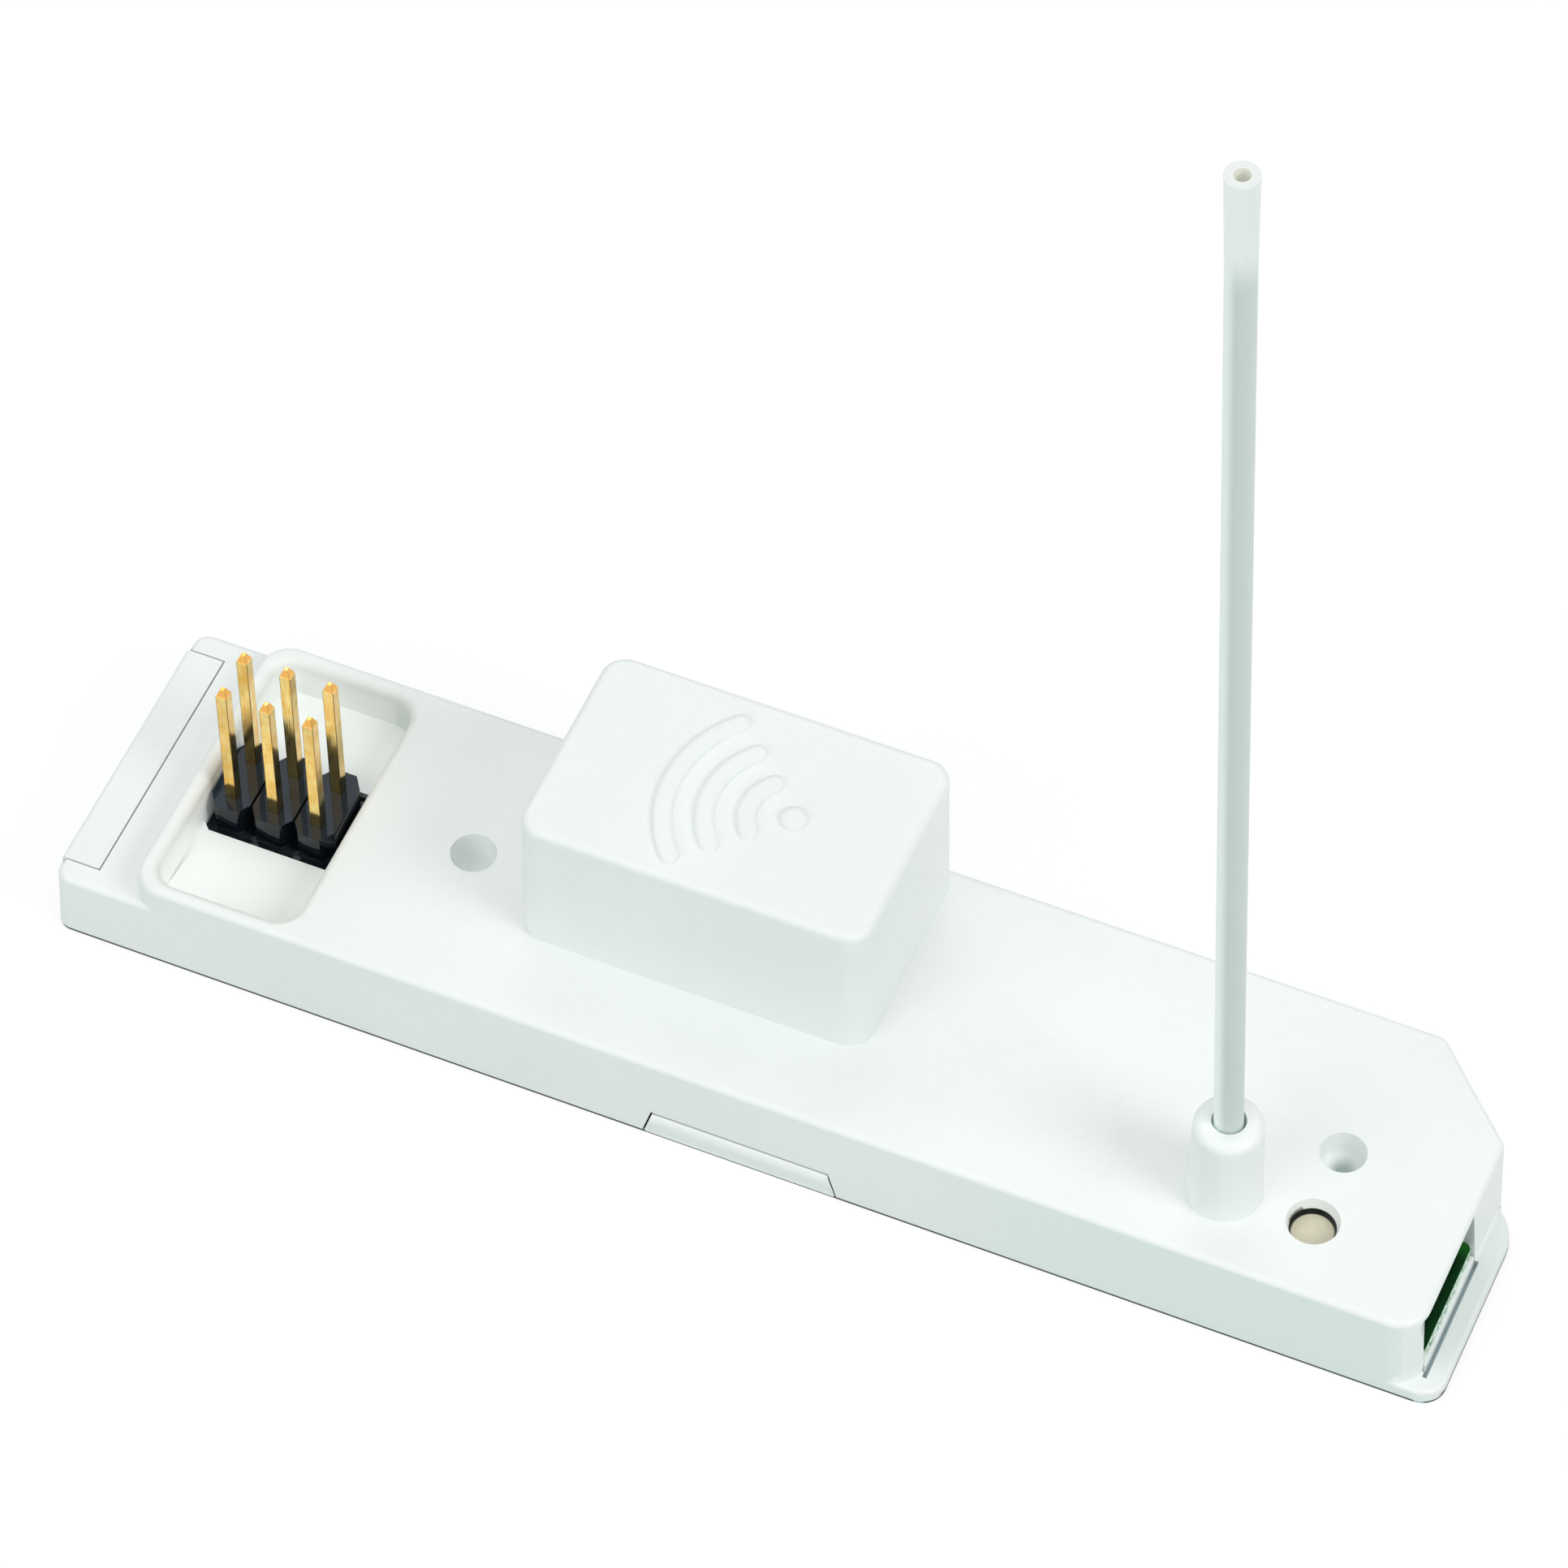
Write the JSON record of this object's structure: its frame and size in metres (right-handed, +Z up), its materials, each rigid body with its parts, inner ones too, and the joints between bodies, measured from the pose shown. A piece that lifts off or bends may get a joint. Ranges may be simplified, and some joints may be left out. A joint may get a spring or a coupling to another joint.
{
  "type": "smoke alarm radio module",
  "caption": "Slim white plug-in radio module for a smoke alarm with an upright whip antenna, a battery box, a gold pin header in a recess and a recessed code button.",
  "frame": {"origin": "middle of the footprint at the underside of the bottom cover", "axes": "+X along the module towards the end foot, -Y the side nearest the camera, +Z up along the antenna"},
  "size_m": [0.0796, 0.0186, 0.0839],
  "materials": {
    "housing_white": "moulded satin white",
    "board_green": "solder mask over glass fibre",
    "header_black": "glossy moulded black",
    "pin_gold": "gold flash plating",
    "sleeve_grey": "pale translucent tubing",
    "wire_dark": "drawn wire",
    "button_cream": "moulded cream",
    "switch_black": "moulded black",
    "sheet_steel": "rolled sheet",
    "cell_steel": "drawn can",
    "chip_black": "moulded package",
    "crystal_metal": "pressed can",
    "capacitor_yellow": "moulded package",
    "coil_blue": "ceramic body",
    "led_clear": "clear resin",
    "ceramic_tan": "sintered ceramic"
  },
  "bodies": {
    "module": {"top_housing": "housing_white", "bottom_cover": "housing_white", "circuit_board": "board_green", "header_block": "header_black", "header_pin_1": "pin_gold", "header_pin_2": "pin_gold", "header_pin_3": "pin_gold", "header_pin_4": "pin_gold", "header_pin_5": "pin_gold", "header_pin_6": "pin_gold", "antenna_sleeve": "sleeve_grey", "antenna_wire": "wire_dark", "switch_body": "switch_black", "switch_lid": "sheet_steel", "lithium_cell": "cell_steel", "cell_tag_plus": "sheet_steel", "cell_tag_minus": "sheet_steel", "radio_chip": "chip_black", "microcontroller": "chip_black", "crystal_can": "crystal_metal", "supply_capacitor": "capacitor_yellow", "voltage_regulator": "chip_black", "tuning_coil": "coil_blue", "status_led": "led_clear", "chip_resistors": "chip_black", "chip_capacitors": "ceramic_tan"},
    "button": {"code_button": "button_cream"}
  },
  "joints": [
    {"name": "code_button_press", "type": "slide", "parent": "module", "child": "button", "axis": [0, 0, -1], "range_m": [0, 0.00025], "stiffness_N_per_m": 800, "springref_m": -0.0004}
  ]
}
